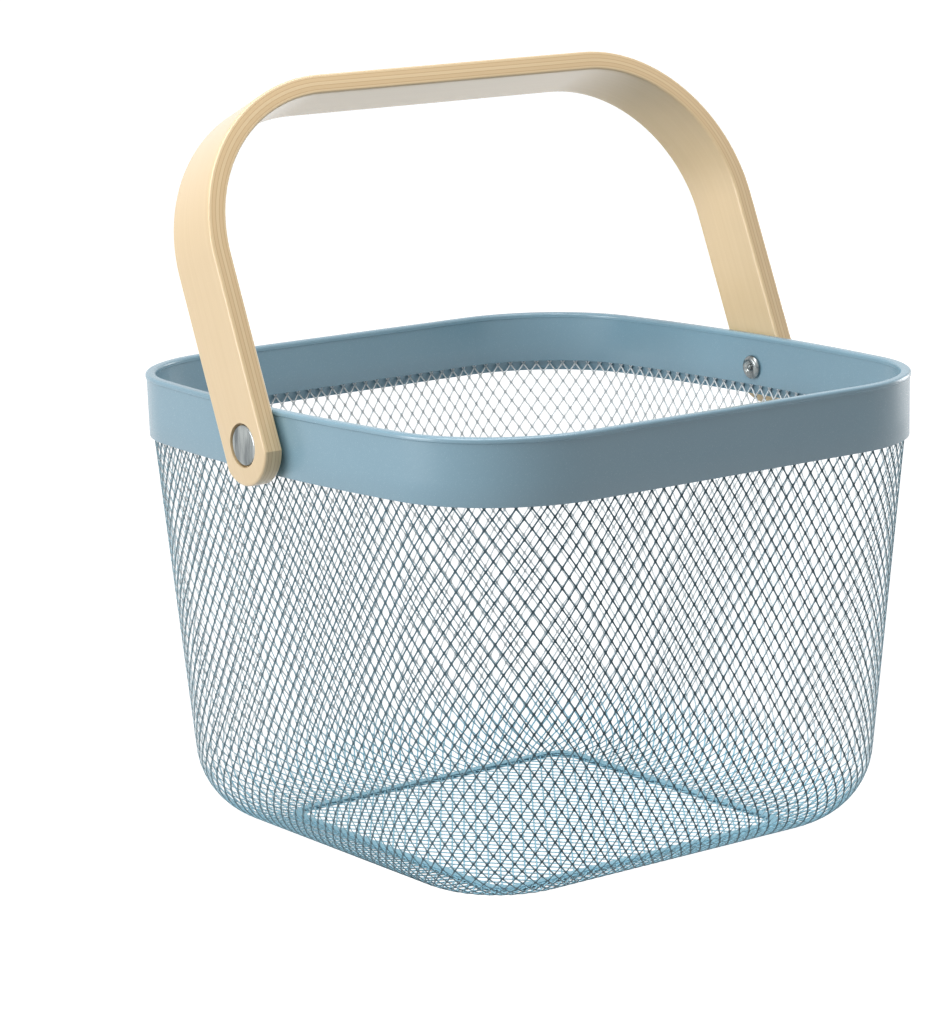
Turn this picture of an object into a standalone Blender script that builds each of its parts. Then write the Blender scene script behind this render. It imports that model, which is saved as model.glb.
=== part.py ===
"""A mesh basket colander with a bent plywood bail handle.

The tub is expanded steel mesh with a folded sheet-steel band round its mouth and a flat mesh
panel for its base. A folded strip joins the tub's lower edge to the base panel, and the basket
stands on it. The plywood handle swings on two rivets through the band, and folds down round it.

Frame: +Z up, origin at the middle of the face that the basket stands on, X along the handle's
hinge, Y along the way the handle swings. Lengths are in metres.
"""
import math

import bmesh
import bpy
from mathutils import Vector

# Rim band: sheet steel folded over the mesh's top edge, with a rolled lip
BODY_HEIGHT = 0.1800
RIM_HALF_X = 0.1204
RIM_HALF_Y = 0.1252
RIM_CORNER = 0.0525
RIM_BOW = 0.0043
SHEET = 0.0008
OUTER_SKIRT = 0.0247
INNER_SKIRT = 0.0205
SKIRT_TAPER = 0.0003
LIP_PROUD = 0.0004
LIP_SEGMENTS = 4

# Mesh: one sheet wrapped into the tub, and one flat panel
MESH_THICKNESS = 0.0010
MESH_STRAND = 0.0026
MESH_TUCK = 0.0175
NET_COLUMNS = 24
NET_ROWS = 5
NET_TAPER = 0.25
BAND_CUTS = 2
FOOT_CUTS = 3
BASE_COLUMNS = 4
BASE_ROWS = 3
BASE_CUTS = 4

# Tub: the walls lean in to where the bottom curve starts, and the curve ends in a slight slope
FOOT_HALF_X = 0.1094
FOOT_HALF_Y = 0.1087
FOOT_CORNER = 0.0510
BOTTOM_RADIUS = 0.0316
BOTTOM_SLOPE = math.radians(8)

# Base strip: an H-shaped fold that grips the tub's edge outside and the base panel inside
STRIP_HALF_X = 0.0690
STRIP_HALF_Y = 0.0705
STRIP_CORNER = 0.0105
STRIP_WEB = 0.0010
STRIP_LIP = 0.0004
STRIP_GRIP = 0.0012
STRIP_CORNER_STEPS = 8

# Handle: a plywood strip bent into a bail
HANDLE_WIDTH = 0.0276
HANDLE_THICKNESS = 0.0076
HANDLE_EDGE = 0.0006
HANDLE_LEAN = math.radians(22.6)
HANDLE_END_RADIUS = 0.0152
BEND_STEPS = 10
END_STEPS = 16
PIVOT_DROP = 0.0132

# Rivets: a broad flat head on a tube outside, and a domed pin set into the tube from inside
DOME_STEPS = 4
NUB_ROUNDING = 0.8
HEAD_DIAMETER = 0.0154
HEAD_THICKNESS = 0.0012
HEAD_CHAMFER = 0.0003
HEAD_RECESS = 0.0003
TUBE_DIAMETER = 0.0060
PIN_DIAMETER = 0.0030
PIN_LENGTH = 0.0080
DOME_DIAMETER = 0.0095
DOME_HEIGHT = 0.0016
DOME_RIM = 0.0003
DIMPLE_DIAMETER = 0.0052
DIMPLE_DEPTH = 0.0006
NUB_DIAMETER = 0.0026
NUB_HEIGHT = 0.0012
WASHER_DIAMETER = 0.0120
TURNED_STEPS = 24

# Clearances
FIT_GAP = 0.0003
MESH_GAP = 0.0005
LEG_GAP = 0.0008
FOLD_GAP = 0.0003
BORE_GAP = 0.0003
COUNTERBORE_GAP = 0.0006

# A straight side is a bow too slight to see
LEAST_BOW = 1e-6
MERGE_DISTANCE = 1e-5

# The band's two skirts hold the mesh between them, and the lip is rolled as wide as both
BAND_DEPTH = 2 * SHEET + MESH_THICKNESS + 2 * MESH_GAP
LIP_RADIUS = (BAND_DEPTH + LIP_PROUD) / 2
BAND_HALF_X = RIM_HALF_X - LIP_PROUD
BAND_HALF_Y = RIM_HALF_Y - LIP_PROUD
BAND_CORNER = RIM_CORNER - LIP_PROUD
BAND_SEGMENTS = NET_COLUMNS * (BAND_CUTS + 1)

# The mesh's middle surface inside the band, and where it leaves the inner skirt
MESH_INSET = BAND_DEPTH / 2
NET_TOP = BODY_HEIGHT - INNER_SKIRT
TOP_HALF_X = BAND_HALF_X - MESH_INSET
TOP_HALF_Y = BAND_HALF_Y - MESH_INSET
TOP_CORNER = BAND_CORNER - MESH_INSET

# The base strip's section, and the mesh edges in its grooves
GROOVE_HEIGHT = MESH_THICKNESS + 2 * FIT_GAP
STRIP_HEIGHT = GROOVE_HEIGHT + 2 * STRIP_LIP
STRIP_REACH = STRIP_WEB / 2 + STRIP_GRIP
EDGE_OFFSET = STRIP_WEB / 2 + MESH_GAP
SEAT_HEIGHT = STRIP_HEIGHT / 2
MOUTH_OFFSET = STRIP_REACH + MESH_GAP

# The tub's section below the band: a leaning side, the bottom curve, and the slope to the strip
CURVE_END = math.pi / 2 - BOTTOM_SLOPE
SLOPE_RUN_X = FOOT_HALF_X - BOTTOM_RADIUS * (1 - math.cos(CURVE_END)) - STRIP_HALF_X - MOUTH_OFFSET
SLOPE_RUN_Y = FOOT_HALF_Y - BOTTOM_RADIUS * (1 - math.cos(CURVE_END)) - STRIP_HALF_Y - MOUTH_OFFSET
SLOPE_RUN = (SLOPE_RUN_X + SLOPE_RUN_Y) / 2
SLOPE_RISE = SLOPE_RUN * math.tan(BOTTOM_SLOPE)
CURVE_CENTRE = SEAT_HEIGHT + SLOPE_RISE + BOTTOM_RADIUS * math.sin(CURVE_END)
SIDE_RUN = (TOP_HALF_X + TOP_HALF_Y - FOOT_HALF_X - FOOT_HALF_Y) / 2
SIDE_LEAN = math.atan2(SIDE_RUN, NET_TOP - CURVE_CENTRE)
CURVE_START = CURVE_CENTRE - BOTTOM_RADIUS * math.sin(SIDE_LEAN)
SIDE_LENGTH = math.hypot(NET_TOP - CURVE_START, SIDE_RUN)
CURVE_LENGTH = BOTTOM_RADIUS * (CURVE_END - SIDE_LEAN)
SLOPE_LENGTH = math.hypot(SLOPE_RUN, SLOPE_RISE)
NET_LENGTH = SIDE_LENGTH + CURVE_LENGTH + SLOPE_LENGTH

# The hinge, and the handle that clears the rim as it swings
PIVOT_HEIGHT = BODY_HEIGHT - PIVOT_DROP
LEG_INNER = RIM_HALF_X + LEG_GAP
LEG_OUTER = LEG_INNER + HANDLE_THICKNESS
REACH_INNER = math.hypot(RIM_HALF_Y, PIVOT_DROP) + FOLD_GAP
BEND_INNER = RIM_CORNER + RIM_BOW + LEG_GAP
BEND_MIDDLE = BEND_INNER + HANDLE_THICKNESS / 2
REACH_MIDDLE = REACH_INNER + HANDLE_THICKNESS / 2
SPAN_MIDDLE = LEG_INNER + HANDLE_THICKNESS / 2
BAR_HALF = SPAN_MIDDLE - BEND_MIDDLE
BEND_LENGTH = BEND_MIDDLE * math.pi / 2
LEG_LENGTH = REACH_MIDDLE - BEND_MIDDLE
STRIP_HALF_LENGTH = BAR_HALF + BEND_LENGTH + LEG_LENGTH

# The rivets' places along X
BAND_INNER_FACE = RIM_HALF_X - 2 * LIP_RADIUS
PIVOT_TAPER = SKIRT_TAPER * (PIVOT_DROP - LIP_RADIUS) / (OUTER_SKIRT - LIP_RADIUS)
BAND_OUTER_FACE = BAND_HALF_X - PIVOT_TAPER
COUNTERBORE_DEPTH = HEAD_RECESS + HEAD_THICKNESS + FIT_GAP
WASHER_THICKNESS = LEG_INNER - BAND_OUTER_FACE - 2 * FIT_GAP
BORE_RADIUS = TUBE_DIAMETER / 2 + BORE_GAP
CUTTER_SPARE = 0.002


def quadrant_point(half_x, half_y, corner, bow, share):
    """A point of the rounded square's first quadrant, share of the way from +X to +Y."""
    bow = max(bow, LEAST_BOW)
    corner_x = half_x - corner - bow
    corner_y = half_y - corner
    side_radius = (corner_y ** 2 + bow ** 2) / (2 * bow)
    side_angle = math.asin(corner_y / side_radius)
    side_length = (side_radius + corner) * side_angle
    corner_length = corner * (math.pi / 2 - side_angle)
    length = share * (side_length + corner_length + corner_x)
    if length < side_length:
        angle = length / (side_radius + corner)
        centre = half_x - side_radius - corner
        return centre + (side_radius + corner) * math.cos(angle), (side_radius + corner) * math.sin(angle)
    length -= side_length
    if length < corner_length:
        angle = side_angle + length / corner
        return corner_x + corner * math.cos(angle), corner_y + corner * math.sin(angle)
    return corner_x - (length - corner_length), half_y


def outline_point(half_x, half_y, corner, bow, share):
    """A point of the rounded square, share of the way round from +X, counterclockwise."""
    quadrant, part = divmod(share * 4, 1)
    quadrant = int(quadrant) % 4
    mirrored = quadrant in (1, 3)
    x, y = quadrant_point(half_x, half_y, corner, bow, 1 - part if mirrored else part)
    return (-x if quadrant in (1, 2) else x), (-y if quadrant in (2, 3) else y)


def even_shares(count):
    """Shares of the way round that are evenly spaced, with the first repeated at the end."""
    return [index / count for index in range(count + 1)]


def corner_shares(half_x, half_y, corner, steps):
    """Shares of the way round a straight-sided rounded square that fall on its corners only."""
    side = half_y - corner
    arc = corner * math.pi / 2
    total = side + arc + half_x - corner
    first = [(side + arc * step / steps) / total for step in range(steps + 1)]
    shares = []
    for quadrant in range(4):
        part = first if quadrant % 2 == 0 else [1 - share for share in reversed(first)]
        shares += [(quadrant + share) / 4 for share in part]
    return shares + [shares[0] + 1]


def mix(start, end, share):
    return start + (end - start) * share


def tub_level(length):
    """The mesh's outline and height at a length down its section from the inner skirt's edge."""
    if length <= 0:
        return TOP_HALF_X, TOP_HALF_Y, TOP_CORNER, RIM_BOW, NET_TOP - length
    if length <= SIDE_LENGTH:
        share = length / SIDE_LENGTH
        return (mix(TOP_HALF_X, FOOT_HALF_X, share), mix(TOP_HALF_Y, FOOT_HALF_Y, share),
                mix(TOP_CORNER, FOOT_CORNER, share), mix(RIM_BOW, 0, share),
                mix(NET_TOP, CURVE_START, share))
    length -= SIDE_LENGTH
    angle = SIDE_LEAN + min(length, CURVE_LENGTH) / BOTTOM_RADIUS
    inset = BOTTOM_RADIUS * (math.cos(SIDE_LEAN) - math.cos(angle))
    height = CURVE_CENTRE - BOTTOM_RADIUS * math.sin(angle)
    half_x, half_y, corner = FOOT_HALF_X - inset, FOOT_HALF_Y - inset, FOOT_CORNER - inset
    if length <= CURVE_LENGTH:
        return half_x, half_y, corner, 0, height
    length -= CURVE_LENGTH
    share = min(length / SLOPE_LENGTH, 1)
    tucked = max(length - SLOPE_LENGTH, 0)
    return (mix(half_x, STRIP_HALF_X + MOUTH_OFFSET, share) - tucked,
            mix(half_y, STRIP_HALF_Y + MOUTH_OFFSET, share) - tucked,
            mix(corner, STRIP_CORNER + MOUTH_OFFSET, share) - tucked, 0,
            mix(height, SEAT_HEIGHT, share))


def clear_scene():
    for item in list(bpy.data.objects):
        bpy.data.objects.remove(item, do_unlink=True)


def make_collection(name):
    collection = bpy.data.collections.new(name)
    bpy.context.scene.collection.children.link(collection)
    return collection


def make_material(name, color, roughness, metallic=0.0):
    material = bpy.data.materials.new(name)
    material.use_nodes = True
    shader = material.node_tree.nodes["Principled BSDF"]
    shader.inputs["Base Color"].default_value = (*color, 1.0)
    shader.inputs["Roughness"].default_value = roughness
    shader.inputs["Metallic"].default_value = metallic
    material.diffuse_color = (*color, 1.0)
    return material


def add_object(name, bm, collection, material=None, sharp=math.radians(35)):
    """Turn a bmesh into a named object, smooth where its faces meet at a shallow angle."""
    mesh = bpy.data.meshes.new(name)
    bm.to_mesh(mesh)
    bm.free()
    mesh.shade_smooth()
    mesh.set_sharp_from_angle(angle=sharp)
    item = bpy.data.objects.new(name, mesh)
    collection.objects.link(item)
    if material:
        mesh.materials.append(material)
    return item


def add_solidify(item, thickness, offset):
    solidify = item.modifiers.new("thickness", "SOLIDIFY")
    solidify.thickness = thickness
    solidify.offset = offset
    solidify.use_even_offset = True


def add_cut(item, cutter):
    cut = item.modifiers.new("cut_" + cutter.name, "BOOLEAN")
    cut.operation = "DIFFERENCE"
    cut.solver = "EXACT"
    cut.object = cutter


def place_points(bm, place):
    """Move each vertex of a flat sheet to where place puts its two coordinates."""
    for vert in bm.verts:
        vert.co = Vector(place(vert.co.x, vert.co.y))


def swept_sheet(profile, shares, place):
    """A sheet whose profile points run round a closed outline, joined where the ends meet."""
    bm = bmesh.new()
    bmesh.ops.create_grid(bm, x_segments=len(shares) - 1, y_segments=len(profile) - 1, size=0.5)
    columns, rows = len(shares) - 1, len(profile) - 1
    place_points(bm, lambda x, y: place(shares[round((x + 0.5) * columns)], profile[round((y + 0.5) * rows)]))
    bmesh.ops.remove_doubles(bm, verts=bm.verts[:], dist=MERGE_DISTANCE)
    return bm


def diamond_sheet(columns, rows, width, height):
    """A flat sheet of diamonds: each grid cell is poked, and its own edges are marked as seams."""
    bm = bmesh.new()
    bmesh.ops.create_grid(bm, x_segments=columns, y_segments=rows, size=0.5)
    bmesh.ops.scale(bm, vec=(width, height, 1), verts=bm.verts[:])
    for edge in bm.edges:
        first, second = edge.verts
        edge.seam = not edge.is_boundary or abs(first.co.x - second.co.x) < MERGE_DISTANCE
    bmesh.ops.poke(bm, faces=bm.faces[:])
    return bm


def edges_at(bm, height):
    """The edges of a flat sheet that lie along one height of it."""
    return [edge for edge in bm.edges if all(abs(vert.co.y - height) < MERGE_DISTANCE for vert in edge.verts)]


def add_plain_edge(bm, height, cuts, width):
    """Grow a plain strip from the sheet's edge at a height, with cuts between its columns."""
    bmesh.ops.bisect_edges(bm, edges=edges_at(bm, height), cuts=cuts)
    grown = bmesh.ops.extrude_edge_only(bm, edges=edges_at(bm, height))["geom"]
    edge_verts = [item for item in grown if isinstance(item, bmesh.types.BMVert)]
    bmesh.ops.translate(bm, vec=(0, width, 0), verts=edge_verts)


def open_net(bm, faces, strand):
    """Inset each diamond by half a strand and take out its middle, which leaves the strands."""
    bmesh.ops.inset_individual(bm, faces=faces, thickness=strand / 2, use_even_offset=True)
    bmesh.ops.delete(bm, geom=faces, context="FACES_ONLY")


def join_diamonds(bm):
    marked = [edge for edge in bm.edges if edge.seam and len(edge.link_faces) == 2]
    bmesh.ops.dissolve_edges(bm, edges=marked, use_verts=False)


def build_rim_band(parts, paint, bore):
    """The folded band: outer skirt, rolled lip, inner skirt, as one bent sheet."""
    lip_height = BODY_HEIGHT - LIP_RADIUS
    lip_centre = LIP_PROUD - LIP_RADIUS
    neck = -math.acos(-lip_centre / LIP_RADIUS)
    profile = [(-SKIRT_TAPER, BODY_HEIGHT - OUTER_SKIRT)]
    for angle in [neck] + [math.pi * step / LIP_SEGMENTS for step in range(LIP_SEGMENTS + 1)]:
        profile.append((lip_centre + LIP_RADIUS * math.cos(angle), lip_height + LIP_RADIUS * math.sin(angle)))
    profile.append((lip_centre - LIP_RADIUS, NET_TOP))

    def place(share, point):
        offset, height = point
        x, y = outline_point(BAND_HALF_X + offset, BAND_HALF_Y + offset, BAND_CORNER + offset, RIM_BOW, share)
        return x, y, height

    bm = swept_sheet(profile, even_shares(BAND_SEGMENTS), place)
    band = add_object("rim_band", bm, parts, paint)
    add_solidify(band, SHEET, -1)
    add_cut(band, bore)


def build_wall_mesh(parts, paint, bore):
    """The tub: a wrapped sheet of diamonds with a plain edge in the band and in the base strip."""
    bm = diamond_sheet(NET_COLUMNS, NET_ROWS, 1, NET_LENGTH)
    bmesh.ops.translate(bm, vec=(0.5, NET_LENGTH / 2, 0), verts=bm.verts[:])
    add_plain_edge(bm, 0, BAND_CUTS, -MESH_TUCK)
    add_plain_edge(bm, NET_LENGTH, FOOT_CUTS, MOUTH_OFFSET - EDGE_OFFSET)
    plain = bm.faces.layers.int.new("plain")
    for face in bm.faces:
        middle = face.calc_center_median().y
        face[plain] = middle < 0 or middle > NET_LENGTH

    def place(share, length):
        """Wrap the sheet into the tub, with the diamonds shorter towards the narrow base."""
        if 0 < length < NET_LENGTH:
            length *= 1 + NET_TAPER * (1 - length / NET_LENGTH)
        half_x, half_y, corner, bow, height = tub_level(length)
        x, y = outline_point(half_x, half_y, corner, bow, share)
        return x, y, height

    place_points(bm, place)
    bmesh.ops.remove_doubles(bm, verts=bm.verts[:], dist=MERGE_DISTANCE)
    join_diamonds(bm)
    open_net(bm, [face for face in bm.faces if not face[plain]], MESH_STRAND)
    wall = add_object("wall_mesh", bm, parts, paint)
    add_solidify(wall, MESH_THICKNESS, 0)
    add_cut(wall, bore)


def build_base_mesh(parts, paint):
    """The flat base panel: diamonds inside a rounded square that fits the strip's inner groove."""
    half_x = STRIP_HALF_X - EDGE_OFFSET
    half_y = STRIP_HALF_Y - EDGE_OFFSET
    corner = STRIP_CORNER - EDGE_OFFSET
    bm = diamond_sheet(BASE_COLUMNS, BASE_ROWS, 2 * half_x, 2 * half_y)
    join_diamonds(bm)
    bmesh.ops.bisect_edges(bm, edges=[edge for edge in bm.edges if edge.is_boundary], cuts=BASE_CUTS)

    def place(x, y):
        """Round the corners: a point beyond a corner's centre is drawn in to the corner's arc."""
        beyond_x = max(abs(x) - half_x + corner, 0)
        beyond_y = max(abs(y) - half_y + corner, 0)
        furthest = max(beyond_x, beyond_y)
        if min(beyond_x, beyond_y) > 0:
            pull = furthest / math.hypot(beyond_x, beyond_y)
            x -= math.copysign(beyond_x * (1 - pull), x)
            y -= math.copysign(beyond_y * (1 - pull), y)
        return x, y, SEAT_HEIGHT

    place_points(bm, place)
    open_net(bm, bm.faces[:], MESH_STRAND)
    add_solidify(add_object("base_mesh", bm, parts, paint), MESH_THICKNESS, 0)


def build_base_strip(parts, paint):
    """The H-shaped strip round the base, which the basket stands on."""
    web = STRIP_WEB / 2
    reach = STRIP_REACH
    low, high = STRIP_LIP, STRIP_HEIGHT - STRIP_LIP
    outer = [(reach, 0), (reach, low), (web, low), (web, high), (reach, high), (reach, STRIP_HEIGHT)]
    inner = [(-offset, height) for offset, height in reversed(outer)]
    profile = outer + inner + outer[:1]
    shares = corner_shares(STRIP_HALF_X, STRIP_HALF_Y, STRIP_CORNER, STRIP_CORNER_STEPS)

    def place(share, point):
        offset, height = point
        half_x, half_y, corner = STRIP_HALF_X + offset, STRIP_HALF_Y + offset, STRIP_CORNER + offset
        own = corner_shares(half_x, half_y, corner, STRIP_CORNER_STEPS)
        x, y = outline_point(half_x, half_y, corner, 0, own[shares.index(share)])
        return x, y, height

    bm = swept_sheet(profile, shares, place)
    bmesh.ops.recalc_face_normals(bm, faces=bm.faces[:])
    add_object("base_strip", bm, parts, paint)


def handle_point(length, across):
    """A point of the handle's middle surface, length along it from the middle of the bar."""
    side = math.copysign(1, length)
    length = abs(length)
    if length <= BAR_HALF:
        return side * length, across, REACH_MIDDLE
    length -= BAR_HALF
    if length <= BEND_LENGTH:
        angle = length / BEND_MIDDLE
        return (side * (BAR_HALF + BEND_MIDDLE * math.sin(angle)), across,
                LEG_LENGTH + BEND_MIDDLE * math.cos(angle))
    return side * SPAN_MIDDLE, across, LEG_LENGTH - (length - BEND_LENGTH)


def build_handle(parts, wood, cutters):
    """The handle: a strip with ends cut round about the rivets, bent at two corners, and bored."""
    half_width = HANDLE_WIDTH / 2
    end_edge = math.sqrt(HANDLE_END_RADIUS ** 2 - half_width ** 2)
    bm = bmesh.new()
    bmesh.ops.create_grid(bm, x_segments=1, y_segments=1, size=1)
    bmesh.ops.scale(bm, vec=(STRIP_HALF_LENGTH + end_edge, half_width, 1), verts=bm.verts[:])
    ends = [edge for edge in bm.edges if abs(edge.verts[0].co.x - edge.verts[1].co.x) < MERGE_DISTANCE]
    bmesh.ops.bisect_edges(bm, edges=ends, cuts=END_STEPS - 1)
    for vert in bm.verts:
        bulge = math.sqrt(HANDLE_END_RADIUS ** 2 - vert.co.y ** 2)
        vert.co.x = math.copysign(STRIP_HALF_LENGTH + bulge, vert.co.x)
    bends =[BAR_HALF + BEND_LENGTH * step / BEND_STEPS for step in range(BEND_STEPS + 1)]
    for station in [side * bend for side in (-1, 1) for bend in bends]:
        bmesh.ops.bisect_plane(bm, geom=bm.verts[:] + bm.edges[:] + bm.faces[:],
                               plane_co=(station, 0, 0), plane_no=(1, 0, 0))
    place_points(bm, handle_point)
    handle = add_object("handle", bm, parts, wood)
    handle.location = (0, 0, PIVOT_HEIGHT)
    handle.rotation_euler = (-HANDLE_LEAN, 0, 0)
    add_solidify(handle, HANDLE_THICKNESS, 0)
    edges = handle.modifiers.new("eased_edges", "BEVEL")
    edges.width = HANDLE_EDGE
    edges.segments = 2
    edges.limit_method = "ANGLE"
    edges.angle_limit = math.radians(40)
    for cutter in cutters:
        add_cut(handle, cutter)


def make_cutter(name, collection, radius, start, end):
    """A cylinder along X between two places on the hinge axis, which cuts and is never built."""
    bm = bmesh.new()
    bmesh.ops.create_cone(bm, cap_ends=True, segments=TURNED_STEPS, radius1=radius, radius2=radius,
                          depth=end - start)
    cutter = add_object(name, bm, collection)
    cutter.location = ((start + end) / 2, 0, PIVOT_HEIGHT)
    cutter.rotation_euler = (0, math.pi / 2, 0)
    cutter.hide_render = True
    cutter.display_type = "WIRE"
    return cutter


def add_turned(name, parts, material, profile, side, closed=False):
    """A turned piece on the hinge axis: its Z runs out of the basket from the band's inner face."""
    bm = bmesh.new()
    verts = [bm.verts.new((radius, 0, height)) for radius, height in profile]
    for first, second in zip(verts, verts[1:] + verts[:1] if closed else verts[1:]):
        bm.edges.new((first, second))
    item = add_object(name, bm, parts, material)
    item.location = (side * BAND_INNER_FACE, 0, PIVOT_HEIGHT)
    item.rotation_euler = (0, side * math.pi / 2, 0)
    screw = item.modifiers.new("turned", "SCREW")
    screw.axis = "Z"
    screw.steps = TURNED_STEPS
    screw.render_steps = TURNED_STEPS
    screw.use_merge_vertices = True
    screw.merge_threshold = MERGE_DISTANCE
    screw.use_smooth_shade = True


def build_rivet_tube(name, parts, steel, side):
    """The flat head in the handle's counterbore, on a tube that runs through to the inner face."""
    head = HEAD_DIAMETER / 2
    tube = TUBE_DIAMETER / 2
    bore = PIN_DIAMETER / 2 + BORE_GAP
    top = LEG_OUTER - HEAD_RECESS - BAND_INNER_FACE
    under = top - HEAD_THICKNESS
    profile = [(0, top), (head - HEAD_CHAMFER, top), (head, top - HEAD_CHAMFER), (head, under),
               (tube, under), (tube, 0), (bore, 0), (bore, PIN_LENGTH + FIT_GAP), (0, PIN_LENGTH + FIT_GAP)]
    add_turned(name, parts, steel, profile, side)


def build_rivet_pin(name, parts, steel, side):
    """The domed pin inside the basket, with the nub in the middle of its dimple."""
    pin = PIN_DIAMETER / 2
    dome = DOME_DIAMETER / 2
    dimple = DIMPLE_DIAMETER / 2
    nub = NUB_DIAMETER / 2
    seat = -FIT_GAP
    rim = seat - DOME_RIM
    crest = seat - DOME_HEIGHT
    floor = crest + DIMPLE_DEPTH
    crown = [(mix(dome, dimple, step / DOME_STEPS),
              mix(rim, crest, math.sin(step / DOME_STEPS * math.pi / 2))) for step in range(DOME_STEPS + 1)]
    profile = [(0, PIN_LENGTH), (pin, PIN_LENGTH), (pin, seat), (dome, seat), *crown,
               ((dimple + nub) / 2, floor), (nub, floor),
               (nub * NUB_ROUNDING, floor - NUB_HEIGHT * NUB_ROUNDING), (0, floor - NUB_HEIGHT)]
    add_turned(name, parts, steel, profile, side)


def build_washer(name, parts, nylon, side):
    """The spacer between the band and the handle's leg."""
    inner = BAND_OUTER_FACE + FIT_GAP - BAND_INNER_FACE
    outer = inner + WASHER_THICKNESS
    rim = WASHER_DIAMETER / 2
    profile = [(BORE_RADIUS, outer), (rim, outer), (rim, inner), (BORE_RADIUS, inner)]
    add_turned(name, parts, nylon, profile, side, closed=True)


def main():
    clear_scene()
    parts = make_collection("mesh_basket_colander")
    cutters = make_collection("cutters")
    paint = make_material("blue_powder_coat", (0.235, 0.402, 0.509), 0.38)
    mesh_paint = make_material("blue_powder_coat_mesh", (0.235, 0.402, 0.509), 0.42)
    wood = make_material("birch_plywood", (0.807, 0.638, 0.413), 0.48)
    steel = make_material("bright_steel", (0.53, 0.54, 0.53), 0.30, metallic=1.0)
    nylon = make_material("clear_nylon", (0.62, 0.62, 0.58), 0.45)

    span = LEG_OUTER + CUTTER_SPARE
    bore = make_cutter("pivot_bore_cutter", cutters, BORE_RADIUS, -span, span)
    counterbore = HEAD_DIAMETER / 2 + COUNTERBORE_GAP
    floor = LEG_OUTER - COUNTERBORE_DEPTH
    right_sink = make_cutter("right_counterbore_cutter", cutters, counterbore, floor, span)
    left_sink = make_cutter("left_counterbore_cutter", cutters, counterbore, -span, -floor)

    build_rim_band(parts, paint, bore)
    build_wall_mesh(parts, mesh_paint, bore)
    build_base_mesh(parts, mesh_paint)
    build_base_strip(parts, paint)
    build_handle(parts, wood, [bore, right_sink, left_sink])
    for label, side in (("left", -1), ("right", 1)):
        build_rivet_tube(label + "_rivet_tube", parts, steel, side)
        build_rivet_pin(label + "_rivet_pin", parts, steel, side)
        build_washer(label + "_spacer_washer", parts, nylon, side)


main()
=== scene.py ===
"""Dress a mesh basket colander: expanded steel mesh, a rolled rim band, a bent plywood bail.

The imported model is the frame. Lengths are in metres, +Z is up, X runs along the handle's hinge,
and the origin is the middle of the face that the basket stands on.
"""
import logging
import math
from collections.abc import Sequence
from dataclasses import dataclass
from enum import Enum

import bmesh
import bpy
from bmesh.types import BMEdge, BMesh, BMFace, BMLayerItem, BMVert
from bpy.types import Material, Node, NodeSocket, NodeTree, Object
from mathutils import Matrix, Vector


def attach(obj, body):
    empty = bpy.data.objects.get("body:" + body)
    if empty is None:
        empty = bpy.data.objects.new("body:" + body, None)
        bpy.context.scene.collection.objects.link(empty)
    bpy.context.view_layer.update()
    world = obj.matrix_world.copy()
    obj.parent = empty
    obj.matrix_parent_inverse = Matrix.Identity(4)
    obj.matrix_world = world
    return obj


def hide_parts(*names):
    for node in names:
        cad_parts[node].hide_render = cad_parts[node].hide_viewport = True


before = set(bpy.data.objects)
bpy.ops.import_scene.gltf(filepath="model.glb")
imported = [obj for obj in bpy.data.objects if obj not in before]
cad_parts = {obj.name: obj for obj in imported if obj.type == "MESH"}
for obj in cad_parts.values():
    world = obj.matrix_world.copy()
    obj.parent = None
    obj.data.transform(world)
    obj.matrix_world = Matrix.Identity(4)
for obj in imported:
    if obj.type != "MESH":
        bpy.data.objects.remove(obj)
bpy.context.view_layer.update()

LOG = logging.getLogger("mesh_basket")
MERGE_DISTANCE = 1e-6
LEAST_CORNER = 1e-4
LEAST_BOW = 1e-6
# Below this, a face lies so level that up has no direction on it.
LEAST_SLANT = 0.05
WHITE = (1, 1, 1, 1)
# A Mix node has sockets of one name for each kind of value, so its colour ones go by number.
SHARE, FIRST, SECOND = 0, 6, 7
# A Map Range node's two pairs of limits.
FROM = ("From Min", "From Max")
TO = ("To Min", "To Max")
# Askew, so that hardly any two vertices lie level along it.
SORT_DIRECTION = (1.0, 0.618034, 0.271828)
# Attributes that a mesh hands to its material.
KNUCKLE = "knuckle"
STRIP_PLACE = "strip_place"

Point2 = tuple[float, float]
Point3 = tuple[float, float, float]


class Body(Enum):
    """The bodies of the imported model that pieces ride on."""

    BASKET = "basket"
    BAIL = "bail"


class Side(Enum):
    """The two ends of the hinge, as signs of X."""

    LEFT = -1
    RIGHT = 1


def hex_to_linear(code: str) -> tuple[float, float, float, float]:
    """Turn an sRGB hex colour into linear RGBA.

    Args:
        code: Six hex digits with a leading hash.

    Returns:
        The linear colour with an alpha of one.
    """
    channels = [int(code[place:place + 2], 16) / 255 for place in (1, 3, 5)]
    linear = [part / 12.92 if part <= 0.04045 else ((part + 0.055) / 1.055) ** 2.4 for part in channels]
    return (*linear, 1.0)


def mix(start: float, end: float, share: float) -> float:
    """Return the value a share of the way from start to end."""
    return start + (end - start) * share


def arc(centre: Point2, radius: float, start: float, end: float, steps: int) -> list[Point2]:
    """Points along a circular arc, both ends included.

    Args:
        centre: The arc's centre.
        radius: Its radius.
        start: The first point's angle in radians.
        end: The last point's angle in radians.
        steps: How many chords the arc has.

    Returns:
        The points in order.
    """
    angles = [mix(start, end, step / steps) for step in range(steps + 1)]
    return [(centre[0] + radius * math.cos(angle), centre[1] + radius * math.sin(angle)) for angle in angles]


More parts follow.
